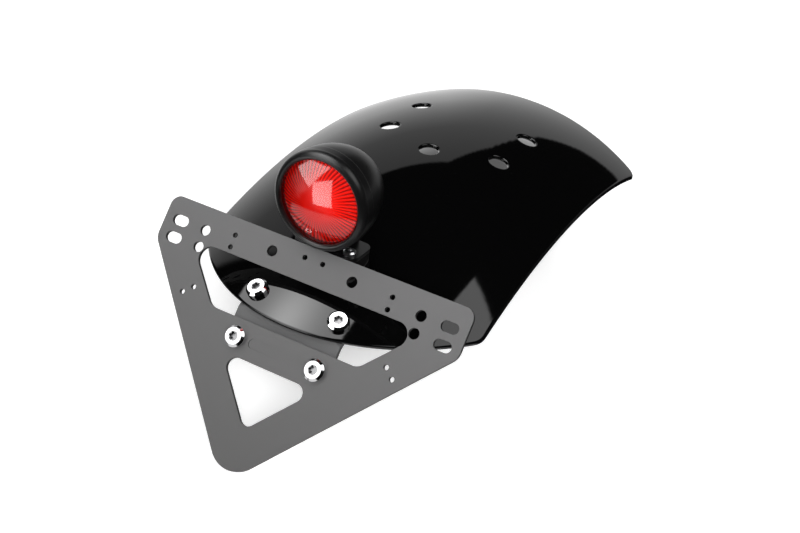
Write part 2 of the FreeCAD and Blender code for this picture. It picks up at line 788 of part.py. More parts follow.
def led_board():
    radius = led_ring_radius + led_margin
    board = rod(2 * radius, board_wall, lamp_middle + Vector(0, board_front, 0), Vector(0, 1, 0))
    screw_hole_d = board_screw_d + 2 * thread_gap
    holes = [drill(screw_hole_d, board_screw_axis(way), 0, 4 * board_wall) for way in (-1, 1)]
    return board.cut(holes)


def chip(side, height):
    """A square LED chip that stands on Z 0."""
    return block(-side / 2, side / 2, -side / 2, side / 2, 0, height)


def tail_leds():
    axes = [(place + Vector(0, board_front, 0), Vector(0, -1, 0)) for place in led_places()]
    return Part.makeCompound([on_axis(chip(led_side, led_h), axis) for axis in axes])


def board_screws():
    """Two screws that hold the reflector and the board to the bosses."""
    screw = cap_screw(board_screw_d, board_screw_bite, board_screw_head_d, board_screw_head_h,
                      board_screw_head_h / 3, hexagon(board_screw_d / 2), board_screw_head_h / 2)
    return Part.makeCompound([on_axis(screw, board_screw_axis(way)) for way in (-1, 1)])


# Clear number-plate light under the housing
def plate_light_window():
    half = window_light_half_width
    top = lamp_z - body_radius
    window = block(-half, half, window_light_back, window_light_front,
                   top - window_light_drop, lamp_z - body_radius / 2)
    solid = window.cut(body_form())
    inside = half - window_light_wall
    pocket = block(-inside, inside, window_light_back + window_light_wall,
                   window_light_front - window_light_wall,
                   top - window_light_drop + window_light_wall, top + window_light_drop)
    return solid.cut(pocket)


light_board_half = window_light_half_width - window_light_ledge
light_board_z = lamp_z - math.sqrt((cavity_radius - seat_gap) ** 2 - light_board_half ** 2)


def plate_light_board():
    board = block(-light_board_half, light_board_half, window_light_back + window_light_ledge,
                  window_light_front - window_light_ledge, light_board_z, light_board_z + board_wall)
    return board.common(cavity(seat_gap))


def plate_light_leds():
    middle_y = (window_light_back + window_light_front) / 2
    axes = [(Vector(way * window_led_side, middle_y, light_board_z), Vector(0, 0, -1)) for way in (-1, 1)]
    return Part.makeCompound([on_axis(chip(window_led, window_led_h), axis) for axis in axes])


# Lamp foot, pad and their fasteners
def lamp_foot():
    solid = base_prism(base_low_z, base_top_z - base_wall)
    solid = solid.cut(core(crown_radius + pad_wall, section_radius + pad_wall))
    drills = [wire_hole()]
    for way in (-1, 1):
        below = base_wall + base_screw_bite + screw_hole_run_out
        drills.append(drill(base_screw_d + 2 * thread_gap, base_screw_axis(way), 0, below))
        above = pad_wall + foot_bolt_bite + screw_hole_run_out
        drills.append(drill(foot_bolt_d + 2 * thread_gap, foot_bolt_axis(way), above, 0))
    return solid.cut(drills)


def foot_pad():
    ring = hoop(crown_radius + pad_wall, crown_radius, hoop_angle(tail_reach), hoop_angle(0),
                section_radius + pad_wall)
    pad = ring.common(base_prism(base_low_z, base_top_z))
    drills = [wire_hole()]
    drills += [drill(foot_hole_d, foot_bolt_axis(way), 2 * pad_wall, pad_wall) for way in (-1, 1)]
    return pad.cut(drills)


base_low_z = crown_height(base_half_width, base_back) - fender_wall
foot_stack = fender_wall + crown_drop(foot_washer_d / 2, section_radius - fender_wall)


def foot_bolt():
    """A hexagon bolt along Z from below: its head hangs under Z 0 and its thread stands above."""
    length = foot_washer_wall + foot_stack + pad_wall + foot_bolt_bite
    return crowned_head(foot_bolt_flats, foot_bolt_head_h).fuse(Part.makeCylinder(foot_bolt_d / 2, length))


def base_screw():
    return cap_screw(base_screw_d, base_wall + base_screw_bite, base_screw_head_d, base_screw_head_h,
                     base_screw_head_h / 3, hexagon(base_screw_d / 2), base_screw_head_h / 2)


def foot_nodes():
    nodes = {}
    for name, way in (("left", -1), ("right", 1)):
        nodes["base_screw_" + name] = on_axis(base_screw(), base_screw_axis(way))
        axis = foot_bolt_axis(way)
        ring = washer(foot_washer_d, foot_hole_d, foot_washer_wall)
        nodes["foot_washer_" + name] = on_axis(ring, axis, foot_stack)
        nodes["foot_bolt_" + name] = on_axis(foot_bolt(), axis, foot_stack + foot_washer_wall)
    return nodes


def wire_grommet():
    """A rubber ring in the shell under the foot, with a lip on the inside."""
    lip = grommet_d / 2 + grommet_lip
    inner = grommet_hole_d / 2
    body = grommet_d / 2 - seat_gap
    lip_top = -fender_wall - crown_drop(lip, section_radius - fender_wall)
    lip_low = lip_top - grommet_lip
    ring = turned([(inner, lip_low), (lip, lip_low), (lip, lip_top), (body, lip_top), (body, -seat_gap),
                   (inner, -seat_gap)])
    return on_axis(ring, grommet_axis)


def all_nodes():
    nodes = {
        "fender_shell": fender_shell(),
        "plate_bracket": plate_bracket(),
        "tail_bracket": tail_bracket(),
        "lamp_housing": lamp_housing(),
        "lamp_bezel": lamp_bezel(),
        "lamp_lens": lamp_lens(),
        "lens_gasket": lens_gasket(),
        "lamp_reflector": lamp_reflector(),
        "led_board": led_board(),
        "tail_leds": tail_leds(),
        "board_screws": board_screws(),
        "plate_light_window": plate_light_window(),
        "plate_light_board": plate_light_board(),
        "plate_light_leds": plate_light_leds(),
        "lamp_foot": lamp_foot(),
        "foot_pad": foot_pad(),
        "wire_grommet": wire_grommet(),
    }
    nodes.update(fastener_nodes())
    nodes.update(foot_nodes())
    return nodes


os.makedirs("parts", exist_ok=True)
for node_name, node_shape in all_nodes().items():
    node_shape.exportStep("parts/" + node_name + ".step")
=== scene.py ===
"""Looks of a short motorcycle rear fender with its number-plate bracket and bullet tail lamp.

Everything is in metres in the row frame: X to the machine's right, Y to its front, Z up, and the
origin is the middle of the four frame-bolt holes, level with the fender's outer surface there.
"""

import math

import bpy
import numpy as np
from mathutils import Matrix, Vector


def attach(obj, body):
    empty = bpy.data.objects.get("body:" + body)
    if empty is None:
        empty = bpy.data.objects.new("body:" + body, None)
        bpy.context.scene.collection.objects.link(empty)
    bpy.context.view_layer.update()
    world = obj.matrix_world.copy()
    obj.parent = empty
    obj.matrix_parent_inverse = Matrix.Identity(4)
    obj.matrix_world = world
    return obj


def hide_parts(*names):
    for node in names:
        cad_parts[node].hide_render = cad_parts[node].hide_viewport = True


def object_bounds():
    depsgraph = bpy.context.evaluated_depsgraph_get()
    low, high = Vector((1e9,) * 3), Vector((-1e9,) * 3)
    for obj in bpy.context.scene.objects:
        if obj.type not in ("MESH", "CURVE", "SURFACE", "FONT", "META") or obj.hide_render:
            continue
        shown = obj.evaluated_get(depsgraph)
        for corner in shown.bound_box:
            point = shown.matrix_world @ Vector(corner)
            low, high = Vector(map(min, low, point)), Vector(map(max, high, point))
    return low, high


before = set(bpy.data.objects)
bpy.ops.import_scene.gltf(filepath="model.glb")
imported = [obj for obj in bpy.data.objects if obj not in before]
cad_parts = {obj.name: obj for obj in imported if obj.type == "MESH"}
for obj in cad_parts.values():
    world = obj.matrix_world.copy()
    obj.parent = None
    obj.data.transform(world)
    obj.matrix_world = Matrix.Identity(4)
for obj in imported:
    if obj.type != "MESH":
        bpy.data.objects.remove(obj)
cad_box = [list(corner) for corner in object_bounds()]
scene = bpy.context.scene
scene.view_settings.view_transform = "Standard"


# The camera stands behind the machine, to its right and above, as in the photograph.
camera_data = bpy.data.cameras.new("camera")
camera_data.sensor_width = 36
camera_data.lens = 58.5
camera_data.clip_start = 0.01
camera_right = Vector((0.8676, 0.4830, 0.1183))
camera_down = Vector((0.3336, -0.3888, -0.8589))
camera_ahead = Vector((-0.3688, 0.7846, -0.4985))
camera_turn = Matrix((camera_right, -camera_down, -camera_ahead)).transposed()
camera = bpy.data.objects.new("camera", camera_data)
camera.matrix_world = Matrix.Translation((0.31756, -0.73870, 0.35308)) @ camera_turn.to_4x4()
scene.collection.objects.link(camera)
scene.camera = camera


# A white room. The camera and clear parts see plain white, and soft surfaces get an even, weaker
# light from all round. Reflections would see white too, but the tent below stands in their way.
soft_light = 0.3
world = bpy.data.worlds.new("white_room")
scene.world = world
world.use_nodes = True
tree = world.node_tree
tree.nodes.clear()
path = tree.nodes.new("ShaderNodeLightPath")
shown = tree.nodes.new("ShaderNodeMath")
shown.operation = "MAXIMUM"
tree.links.new(path.outputs["Is Camera Ray"], shown.inputs[0])
tree.links.new(path.outputs["Is Glossy Ray"], shown.inputs[1])
seen = tree.nodes.new("ShaderNodeMath")
seen.operation = "MAXIMUM"
tree.links.new(shown.outputs[0], seen.inputs[0])
tree.links.new(path.outputs["Is Transmission Ray"], seen.inputs[1])
strength = tree.nodes.new("ShaderNodeMapRange")
strength.inputs["To Min"].default_value = soft_light
strength.inputs["To Max"].default_value = 1.0
tree.links.new(seen.outputs[0], strength.inputs["Value"])
background = tree.nodes.new("ShaderNodeBackground")
background.inputs["Color"].default_value = (1, 1, 1, 1)
tree.links.new(strength.outputs[0], background.inputs["Strength"])
tree.links.new(background.outputs[0], tree.nodes.new("ShaderNodeOutputWorld").inputs["Surface"])


def unseen(obj, *rays):
    """Hides a studio piece from every kind of ray but the ones named."""
    for ray in ("camera", "diffuse", "glossy", "transmission", "volume_scatter", "shadow"):
        setattr(obj, "visible_" + ray, ray in rays)


def mesh_object(name, points, faces):
    """A smooth-shaded mesh from an array of points and an array, or a list of arrays, of faces."""
    groups = faces if isinstance(faces, list) else [faces]
    mesh = bpy.data.meshes.new(name)
    mesh.from_pydata(points.tolist(), [], [face for group in groups for face in group.tolist()])
    mesh.update()
    mesh.shade_smooth()
    made = bpy.data.objects.new(name, mesh)
    scene.collection.objects.link(made)
    return made


def quads(numbers):
    """Quads of a lattice of point numbers. Each joins a point to the next in its row and column."""
    corners = numbers[:-1, :-1], numbers[:-1, 1:], numbers[1:, 1:], numbers[1:, :-1]
    return np.stack([corner.ravel() for corner in corners], axis=1)


def closed(numbers):
    """A lattice of point numbers with each row's first number again at its end."""
    return np.hstack([numbers, numbers[:, :1]])


def ring_faces(rings, turns):
    """Quads between rings of points that are numbered ring by ring."""
    return quads(closed(np.arange(rings * turns).reshape(rings, turns)))


# What the gloss sees: a tent that only reflections reach. It is black, with a white sweep ahead of
# the machine, two windows behind it, a panel overhead to each side, and pale ground. Their edges
# and levels are fitted by measure so that the gloss reflects what it does in the photograph.
def edged(distance, softness):
    """Rises from 0 to 1 where a signed distance in degrees passes zero, over a given width."""
    return np.clip(distance / softness + 0.5, 0, 1)


def sweep_top(bearing):
    """Elevation in degrees where the sweep ends: about 42 to the left, falling past a bearing of -20."""
    return np.interp(bearing, [-75, -60, -40, -20, -12, -7, 0, 7, 30, 60, 75],
                     [43, 43, 42, 42, 33, 20, 13.5, 9, 4, 0, -20])


def sweep_light(bearing, height):
    """Brightness of the sweep: falls to the right at its foot, and blends to one level by 24 degrees up."""
    low = np.interp(bearing, [-60, -27, -20, -5, 10], [1.0, 0.95, 0.62, 0.48, 0.34])
    return low + (high_sweep_light - low) * np.clip((height - 2) / 22, 0, 1)


def panel_light(directions, corners):
    """1 inside a four-sided panel given by the directions of its corners in turning order, 0 outside.

    Each side is a plane through the middle of the tent, and a direction counts as inside when it
    lies on the same side of all four as their middle does.
    """
    corners = np.array(corners)
    sides = np.cross(corners, np.roll(corners, -1, axis=0))
    sides *= np.sign(sides @ corners.mean(axis=0))[:, None] / np.linalg.norm(sides, axis=1)[:, None]
    return edged(np.degrees(directions @ sides.T).min(axis=-1), 1.5)


tent_radius = 6.0
tent_black = 0.006
high_sweep_light = 0.42
ground_light = 0.8
window_light = 4.2
overhead_light = 3.6
hot_spot_light = 4.6
side_light = 2.0
bearings = np.linspace(-180, 180, 481)[:-1]
heights = np.linspace(-89.5, 89.5, 359)
bearing_grid, height_grid = np.meshgrid(bearings, heights)
east = np.sin(np.radians(bearing_grid)) * np.cos(np.radians(height_grid))
north = np.cos(np.radians(bearing_grid)) * np.cos(np.radians(height_grid))
directions = np.stack([east, north, np.sin(np.radians(height_grid))], axis=-1)
tent_points = tent_radius * directions.reshape(-1, 3)
in_front = edged(75 - np.abs(bearing_grid), 2) * edged(bearing_grid - height_grid * 0.3 + 90, 2)
above_table = edged(height_grid + np.interp(bearing_grid, [-60, -20, 20], [60, 40, 4]), 4)
in_sweep = in_front * above_table * edged(sweep_top(bearing_grid) - height_grid, 0.8)
light = tent_black + in_sweep * sweep_light(bearing_grid, height_grid)
behind = edged(np.abs(bearing_grid) - 105, 20)
light += ground_light * edged(-33 - 14 * (1 - behind) - height_grid, 3)
left_window = panel_light(directions, [(-0.83, -0.56, 0.02), (-0.66, -0.70, 0.27),
                                       (-0.25, -0.91, 0.34), (-0.56, -0.81, -0.16)])
middle_window = panel_light(directions, [(-0.51, -0.86, -0.04), (-0.14, -0.98, 0.15),
                                         (-0.08, -0.92, -0.38), (-0.44, -0.80, -0.41)])
light += window_light * np.maximum(left_window, middle_window)
rise = np.maximum(directions[..., 2], 0.05)
across, ahead = directions[..., 0] / rise, directions[..., 1] / rise
degrees_per_unit = math.degrees(1.0)
overhead = np.minimum.reduce([-0.04 - across, across + 1.15, -0.036 - 0.13 * across - ahead, ahead + 1.2])
hot_spot = np.exp(-((across + 0.49) ** 2 + (ahead + 0.16) ** 2) / (2 * 0.15 ** 2))
light += edged(overhead * degrees_per_unit, 0.8) * (overhead_light + hot_spot_light * hot_spot)
right_side = np.minimum.reduce([across - 0.42, 1.5 - across, 0.43 - ahead, ahead + 0.6])
light += edged(right_side * degrees_per_unit, 0.8) * side_light
tent = mesh_object("tent", tent_points, ring_faces(len(heights), len(bearings)))
glow = tent.data.attributes.new("glow", "FLOAT", "POINT")
glow.data.foreach_set("value", light.ravel().astype(np.float32))
unseen(tent, "glossy")
tent_paint = bpy.data.materials.new("tent_cloth")
tent_paint.use_nodes = True
tree = tent_paint.node_tree
tree.nodes.clear()
level = tree.nodes.new("ShaderNodeAttribute")
level.attribute_name = "glow"
cloth = tree.nodes.new("ShaderNodeEmission")
tree.links.new(level.outputs["Fac"], cloth.inputs["Strength"])
tree.links.new(cloth.outputs[0], tree.nodes.new("ShaderNodeOutputMaterial").inputs["Surface"])
tent.data.materials.append(tent_paint)


def soft_box(name, place, target, wide, tall, radiance, rays):
    """A rectangular lamp of a given brightness: its power is brightness times area times pi."""
    data = bpy.data.lights.new(name, "AREA")
    data.shape = "RECTANGLE"
    data.size = wide
    data.size_y = tall
    data.energy = radiance * wide * tall * math.pi
    lamp = bpy.data.objects.new(name, data)
    away = Vector(place) - Vector(target)
    lamp.matrix_world = Matrix.Translation(place) @ away.to_track_quat("Z", "Y").to_matrix().to_4x4()
    unseen(lamp, *rays)
    scene.collection.objects.link(lamp)


# Soft boxes: one that bright metal shows, and two that give the even light without showing in it.
soft_box("rear_box", (-0.88, -1.77, 1.22), (0, -0.25, -0.1), 1.0, 0.55, 2.2, ("glossy",))
soft_box("key_box", (0.625, -1.06, 0.56), (0, -0.1, -0.05), 0.4, 0.4, 23.0, ("diffuse", "transmission"))
soft_box("fill_box", (-0.6, -0.2, 1.9), (0, 0, 0), 1.6, 1.6, 1.6, ("diffuse", "transmission"))


# The floor: a white sheet at the part's lowest point, see-through from below. It takes the part's
# shadow, and glows white for the camera and clear parts. A painted shadow, a dark oval that no lamp
# casts, lies on it under and ahead of the fender, to darken what shows through the fender's holes.
floor_z = cad_box[0][2]
floor_half = 40.0
painted_shadow_middle = (-0.06, 0.11, floor_z)
painted_shadow_half = (0.105, 0.25, 1)
painted_shadow_dark_reach = 0.5
painted_shadow_soft_reach = 1.15
painted_shadow_tone = 0.2
open_tone = 0.85
near_glow = 0.6
far_glow = 1.0
far_reach = 4.0
floor_corners = np.array([(-1, -1, 0), (1, -1, 0), (1, 1, 0), (-1, 1, 0)], float)
floor_points = floor_corners * floor_half + (0, 0, floor_z)
floor = mesh_object("floor", floor_points, np.array([[0, 1, 2, 3]]))
unseen(floor, "camera", "diffuse", "transmission", "shadow")
floor_white = bpy.data.materials.new("floor_white")
floor_white.use_nodes = True
tree = floor_white.node_tree
tree.nodes.clear()
place = tree.nodes.new("ShaderNodeTexCoord")
from_middle = tree.nodes.new("ShaderNodeVectorMath")
from_middle.operation = "SUBTRACT"
from_middle.inputs[1].default_value = painted_shadow_middle
tree.links.new(place.outputs["Object"], from_middle.inputs[0])
stretched = tree.nodes.new("ShaderNodeVectorMath")
stretched.operation = "DIVIDE"
stretched.inputs[1].default_value = painted_shadow_half
tree.links.new(from_middle.outputs["Vector"], stretched.inputs[0])
reach = tree.nodes.new("ShaderNodeVectorMath")
reach.operation = "LENGTH"
tree.links.new(stretched.outputs["Vector"], reach.inputs[0])
open_floor = tree.nodes.new("ShaderNodeMapRange")
open_floor.interpolation_type = "SMOOTHERSTEP"
open_floor.inputs["From Min"].default_value = painted_shadow_dark_reach
open_floor.inputs["From Max"].default_value = painted_shadow_soft_reach
tree.links.new(reach.outputs["Value"], open_floor.inputs["Value"])
tone = tree.nodes.new("ShaderNodeMapRange")
tone.inputs["To Min"].default_value = painted_shadow_tone
tone.inputs["To Max"].default_value = open_tone
tree.links.new(open_floor.outputs[0], tone.inputs["Value"])
matte = tree.nodes.new("ShaderNodeBsdfDiffuse")
tree.links.new(tone.outputs[0], matte.inputs["Color"])
far_white = tree.nodes.new("ShaderNodeMapRange")
far_white.inputs["From Min"].default_value = 1.0
far_white.inputs["From Max"].default_value = far_reach
far_white.inputs["To Min"].default_value = near_glow
far_white.inputs["To Max"].default_value = far_glow
tree.links.new(reach.outputs["Value"], far_white.inputs["Value"])
level = tree.nodes.new("ShaderNodeMath")
level.operation = "MULTIPLY"
tree.links.new(open_floor.outputs[0], level.inputs[0])
tree.links.new(far_white.outputs[0], level.inputs[1])
path = tree.nodes.new("ShaderNodeLightPath")
seen = tree.nodes.new("ShaderNodeMath")
seen.operation = "MAXIMUM"
tree.links.new(path.outputs["Is Camera Ray"], seen.inputs[0])
tree.links.new(path.outputs["Is Transmission Ray"], seen.inputs[1])
shown = tree.nodes.new("ShaderNodeMath")
shown.operation = "MULTIPLY"
tree.links.new(seen.outputs[0], shown.inputs[0])
tree.links.new(level.outputs[0], shown.inputs[1])
white = tree.nodes.new("ShaderNodeEmission")
tree.links.new(shown.outputs[0], white.inputs["Strength"])
both = tree.nodes.new("ShaderNodeAddShader")
tree.links.new(matte.outputs[0], both.inputs[0])
tree.links.new(white.outputs[0], both.inputs[1])
underside = tree.nodes.new("ShaderNodeNewGeometry")
one_sided = tree.nodes.new("ShaderNodeMixShader")
tree.links.new(underside.outputs["Backfacing"], one_sided.inputs["Fac"])
tree.links.new(both.outputs[0], one_sided.inputs[1])
tree.links.new(tree.nodes.new("ShaderNodeBsdfTransparent").outputs[0], one_sided.inputs[2])
tree.links.new(one_sided.outputs[0], tree.nodes.new("ShaderNodeOutputMaterial").inputs["Surface"])
floor.data.materials.append(floor_white)


# Fender shell: a crowned strip of 3 mm steel sheet rolled to the wheel's curve, with square-cut
# edges broken by the polish, under deep gloss black paint.
crown_radius = 0.417
section_radius = 0.178
shell_wall = 0.003
shell_half = 0.0967
tail_reach = 0.2066
tail_droop = 0.002
tail_corner = 0.016
nose_reach = 0.1136
nose_radius = 0.520
nose_corner = 0.007
axle_z = -0.411717
edge_round = 0.0009
edge_margin = 0.003
tail_blend = 0.02
edge_samples = 4000
tail_slope = math.asin(tail_reach / crown_radius)


def hoop_radius(x, depth=0.0):
    """Distance from the axle to the shell at x from the middle, some depth under its outer surface.

    It is the height over the axle of an arc about the section's centre, its radius less by the depth.
    """
    return crown_radius - section_radius + np.sqrt((section_radius - depth) ** 2 - x ** 2)


def tail_edge(x):
    """Y of the tail's edge: where the surface meets a level that droops with the square of x."""
    level_z = math.sqrt(crown_radius ** 2 - tail_reach ** 2) - tail_droop * (x / shell_half) ** 2
    return -np.sqrt(hoop_radius(x) ** 2 - level_z ** 2)


def nose_edge(x):
    """Y of the nose's edge: an arc about a point far behind it."""
    return nose_reach - nose_radius + np.sqrt(nose_radius ** 2 - x ** 2)


def shell_point(plan, depth):
    """The point of the shell over a place in plan, some depth under the outer surface.

    Near the tail the place moves ahead with the depth, so that the wall there is square to the sheet.
    """
    x, y = plan[..., 0], plan[..., 1]
    tail_share = np.clip(1 - (y - tail_edge(x)) / tail_blend, 0, 1)
    y = y + depth * math.sin(tail_slope) * tail_share
    return np.stack([x, y, axle_z + np.sqrt(hoop_radius(x, depth) ** 2 - y ** 2)], axis=-1)


def inner_edge(edge, inward, corner):
    """An end edge set in by the margin, and carried round its corner to the side, on the columns below.

    The edge is moved along its normal. The corner is an arc about the point that lies its radius
    from both the edge and the side.
    """
    x = np.linspace(0, shell_half * 1.05, edge_samples)
    y = edge(x)
    slope = np.gradient(y, x)
    normal = np.stack([-slope, np.ones_like(x)], axis=1) * inward / np.sqrt(1 + slope ** 2)[:, None]
    line = np.stack([x, y], axis=1)
    shifted = line + normal * edge_margin
    centres = line + normal * corner
    centre_y = np.interp(shell_half - corner, centres[:, 0], centres[:, 1])
    centre = np.array([shell_half - corner, centre_y])
    touch = np.argmin(np.hypot(*(centres - centre).T))
    reach = corner - edge_margin

    def at(column):
        across = np.abs(column)
        straight = np.interp(across, shifted[:, 0], shifted[:, 1])
        run = np.clip(across - centre[0], 0, reach)
        bend = centre_y - inward * np.sqrt(reach ** 2 - run ** 2)
        return np.where(across > shifted[touch, 0], bend, straight)

    return at


inner_half = shell_half - edge_margin
bends = np.radians(np.linspace(0, 90, 15))
corner_columns = inner_half - (tail_corner - edge_margin) * (1 - np.sin(bends))
middle_columns = np.linspace(0, corner_columns[0], 36)[:-1]
half_columns = np.concatenate([middle_columns, corner_columns])
columns = np.concatenate([-half_columns[:0:-1], half_columns])
row_count = 140
low_edge = inner_edge(tail_edge, 1, tail_corner)(columns)
high_edge = inner_edge(nose_edge, -1, nose_corner)(columns)
share = np.linspace(0, 1, row_count)[:, None]
across_plan = np.broadcast_to(columns, (row_count, len(columns)))
plan = np.stack([across_plan, low_edge + (high_edge - low_edge) * share], axis=-1)
numbers = np.arange(plan.shape[0] * plan.shape[1]).reshape(plan.shape[:2])
kept = np.ones((row_count - 1, len(columns) - 1), bool)


def loop_of(block_rows, block_columns):
    """Numbers of the lattice points round a block, in turning order."""
    low, high = block_rows
    left, right = block_columns
    return np.concatenate([numbers[low, left:right], numbers[low:high, right], numbers[high, right:left:-1],
                           numbers[high:low:-1, left]])


round_steps = np.radians(np.linspace(0, 90, 5))
lip_run = edge_margin - edge_round + edge_round * np.sin(round_steps)
lip_depth = edge_round * (1 - np.cos(round_steps))
half_run = np.concatenate([[edge_margin - 1.5 * edge_round], lip_run])
half_depth = np.concatenate([[0.0], lip_depth])
rim_run = np.concatenate([half_run, half_run[::-1]])
rim_depth = np.concatenate([half_depth, shell_wall - half_depth[::-1]])
lattice = plan.reshape(-1, 2)
point_sets = [shell_point(lattice, 0.0), shell_point(lattice, shell_wall)]
inner_start = len(lattice)
face_sets = []
as_is = [0, 1, 2, 3]
turned_over = [0, 3, 2, 1]


def add_points(rings, depth):
    """Adds the shell's points over rings in plan, at a depth, and gives their numbers ring by ring."""
    first = sum(len(points) for points in point_sets)
    point_sets.append(shell_point(rings, depth).reshape(-1, 3))
    return first + np.arange(rings.shape[0] * rings.shape[1]).reshape(rings.shape[:2])


def add_rim(outer_loop, inner_loop, loop_plan, outward):
    """Rings from the outer surface over a rounded edge, down the wall and back to the inner surface."""
    rings = loop_plan[None] + rim_run[:, None, None] * outward[None]
    ring_numbers = add_points(rings, np.broadcast_to(rim_depth[:, None], rings.shape[:2]))
    stack = np.vstack([outer_loop, ring_numbers, inner_loop])
    face_sets.append(quads(closed(stack))[:, turned_over])


frame_hole = 0.0065
block_reach = 0.0125
hole_places = [(x, y) for x in (-0.0405, 0.0405) for y in (-0.0225, 0.0225)] + [(0.0, -0.0435)]
for hole_x, hole_y in hole_places:
    middle = np.array([hole_x, hole_y])
    block_columns = np.flatnonzero(np.abs(columns - hole_x) < block_reach)[[0, -1]]
    near = plan[:, np.argmin(np.abs(columns - hole_x)), 1]
    block_rows = np.flatnonzero(np.abs(near - hole_y) < block_reach)[[0, -1]]
    kept[block_rows[0]:block_rows[1], block_columns[0]:block_columns[1]] = False
    loop = loop_of(block_rows, block_columns)
    away = lattice[loop] - middle
    away /= np.linalg.norm(away, axis=1)[:, None]
    circle = middle + away * (frame_hole + edge_margin)
    blend = np.array([0.65, 0.3, 0.0])[:, None, None]
    rings = circle + (lattice[loop] - circle) * blend
    ring_numbers = []
    for depth, first, order in ((0.0, loop, as_is), (shell_wall, loop + inner_start, turned_over)):
        own = add_points(rings, depth)
        face_sets.append(quads(closed(np.vstack([first, own])))[:, order])
        ring_numbers.append(own[-1])
    add_rim(ring_numbers[0][::-1], ring_numbers[1][::-1], circle[::-1], -away[::-1])

outline_loop = loop_of((0, row_count - 1), (0, len(columns) - 1))
outline = lattice[outline_loop]
along = np.roll(outline, -1, axis=0) - np.roll(outline, 1, axis=0)
outward = np.stack([along[:, 1], -along[:, 0]], axis=1)
outward /= np.linalg.norm(outward, axis=1)[:, None]
add_rim(outline_loop, outline_loop + inner_start, outline, outward)
top_faces = quads(numbers)[kept.ravel()]
face_sets += [top_faces, top_faces[:, ::-1] + inner_start]
all_points = np.concatenate(point_sets)
all_faces = np.concatenate(face_sets)
used = np.unique(all_faces)
renumber = np.zeros(len(all_points), int)
renumber[used] = np.arange(len(used))
shell = mesh_object("fender_skin", all_points[used], renumber[all_faces])


def fine_grain():
    """A node group: small uneven height at a given size, for paint, coat and plating."""
    group = bpy.data.node_groups.new("fine_grain", "ShaderNodeTree")
    group.interface.new_socket("Size", in_out="INPUT", socket_type="NodeSocketFloat")
    group.interface.new_socket("Detail", in_out="INPUT", socket_type="NodeSocketFloat")
    group.interface.new_socket("Low", in_out="INPUT", socket_type="NodeSocketFloat")
    group.interface.new_socket("High", in_out="INPUT", socket_type="NodeSocketFloat")
    group.interface.new_socket("Height", in_out="OUTPUT", socket_type="NodeSocketFloat")
    group.interface.new_socket("Level", in_out="OUTPUT", socket_type="NodeSocketFloat")
    start = group.nodes.new("NodeGroupInput")
    end = group.nodes.new("NodeGroupOutput")
    place = group.nodes.new("ShaderNodeTexCoord")
    noise = group.nodes.new("ShaderNodeTexNoise")
    spread = group.nodes.new("ShaderNodeMapRange")
    group.links.new(place.outputs["Object"], noise.inputs["Vector"])
    group.links.new(start.outputs["Size"], noise.inputs["Scale"])
    group.links.new(start.outputs["Detail"], noise.inputs["Detail"])
    group.links.new(noise.outputs["Fac"], spread.inputs["Value"])
    group.links.new(start.outputs["Low"], spread.inputs["To Min"])
    group.links.new(start.outputs["High"], spread.inputs["To Max"])
    group.links.new(noise.outputs["Fac"], end.inputs["Height"])
    group.links.new(spread.outputs[0], end.inputs["Level"])
    return group


grain = fine_grain()
grain_detail = 3.0


def finish(name, colour, rough, grain_size, bump, metal=0.0):
    """A material whose roughness wanders between two values and whose surface has a fine grain."""
    made = bpy.data.materials.new(name)
    made.use_nodes = True
    tree = made.node_tree
    surface = tree.nodes["Principled BSDF"]
    surface.inputs["Base Color"].default_value = (*colour, 1)
    surface.inputs["Metallic"].default_value = metal
    texture = tree.nodes.new("ShaderNodeGroup")
    texture.node_tree = grain
    texture.inputs["Size"].default_value = grain_size
    texture.inputs["Detail"].default_value = grain_detail
    texture.inputs["Low"].default_value = rough[0]
    texture.inputs["High"].default_value = rough[1]
    tree.links.new(texture.outputs["Level"], surface.inputs["Roughness"])
    relief = tree.nodes.new("ShaderNodeBump")
    relief.inputs["Distance"].default_value = bump
    tree.links.new(texture.outputs["Height"], relief.inputs["Height"])
    tree.links.new(relief.outputs["Normal"], surface.inputs["Normal"])
    return made


gloss_black = finish("gloss_black_paint", (0.0015, 0.0015, 0.0016), (0.03, 0.05), 260.0, 0.000006)
shell.data.materials.append(gloss_black)
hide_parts("fender_shell")
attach(shell, "root")


def coat_node(node, material):
    """Gives a CAD piece its finish."""
    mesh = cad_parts[node].data
    mesh.materials.clear()
    mesh.materials.append(material)


# Number-plate bracket and the folded bracket behind it: laser-cut steel in fine matt dark grey
# powder coat. Painted shade darkens the plate's cut edges, and painted light lightens its face a little
# upwards.
grey_coat = finish("dark_grey_coat", (0.085, 0.085, 0.086), (0.45, 0.55), 2600.0, 0.00003)
plate_lean = math.radians(36.5)
plate_low_z = -0.125
plate_high_z = -0.015
# Painted shade on the plate's cut edges, and painted light lightening its face upwards.
painted_shade_edge_grey = (0.02, 0.02, 0.02, 1)
painted_light_low_grey = (0.066, 0.065, 0.065, 1)
painted_light_high_grey = (0.108, 0.107, 0.108, 1)
across_plate = (0.0, -math.cos(plate_lean), math.sin(plate_lean))
painted_shade_and_light_coat = grey_coat.copy()
painted_shade_and_light_coat.name = "dark_grey_coat_painted_shade_and_light"
tree = painted_shade_and_light_coat.node_tree
faced = tree.nodes.new("ShaderNodeNewGeometry")
along = tree.nodes.new("ShaderNodeVectorMath")
along.operation = "DOT_PRODUCT"
along.inputs[1].default_value = across_plate
tree.links.new(faced.outputs["True Normal"], along.inputs[0])
flat = tree.nodes.new("ShaderNodeMath")
flat.operation = "ABSOLUTE"
tree.links.new(along.outputs["Value"], flat.inputs[0])
shade = tree.nodes.new("ShaderNodeMix")
shade.data_type = "RGBA"
shade.inputs["A"].default_value = painted_shade_edge_grey
place = tree.nodes.new("ShaderNodeTexCoord")
parts = tree.nodes.new("ShaderNodeSeparateXYZ")
tree.links.new(place.outputs["Object"], parts.inputs[0])
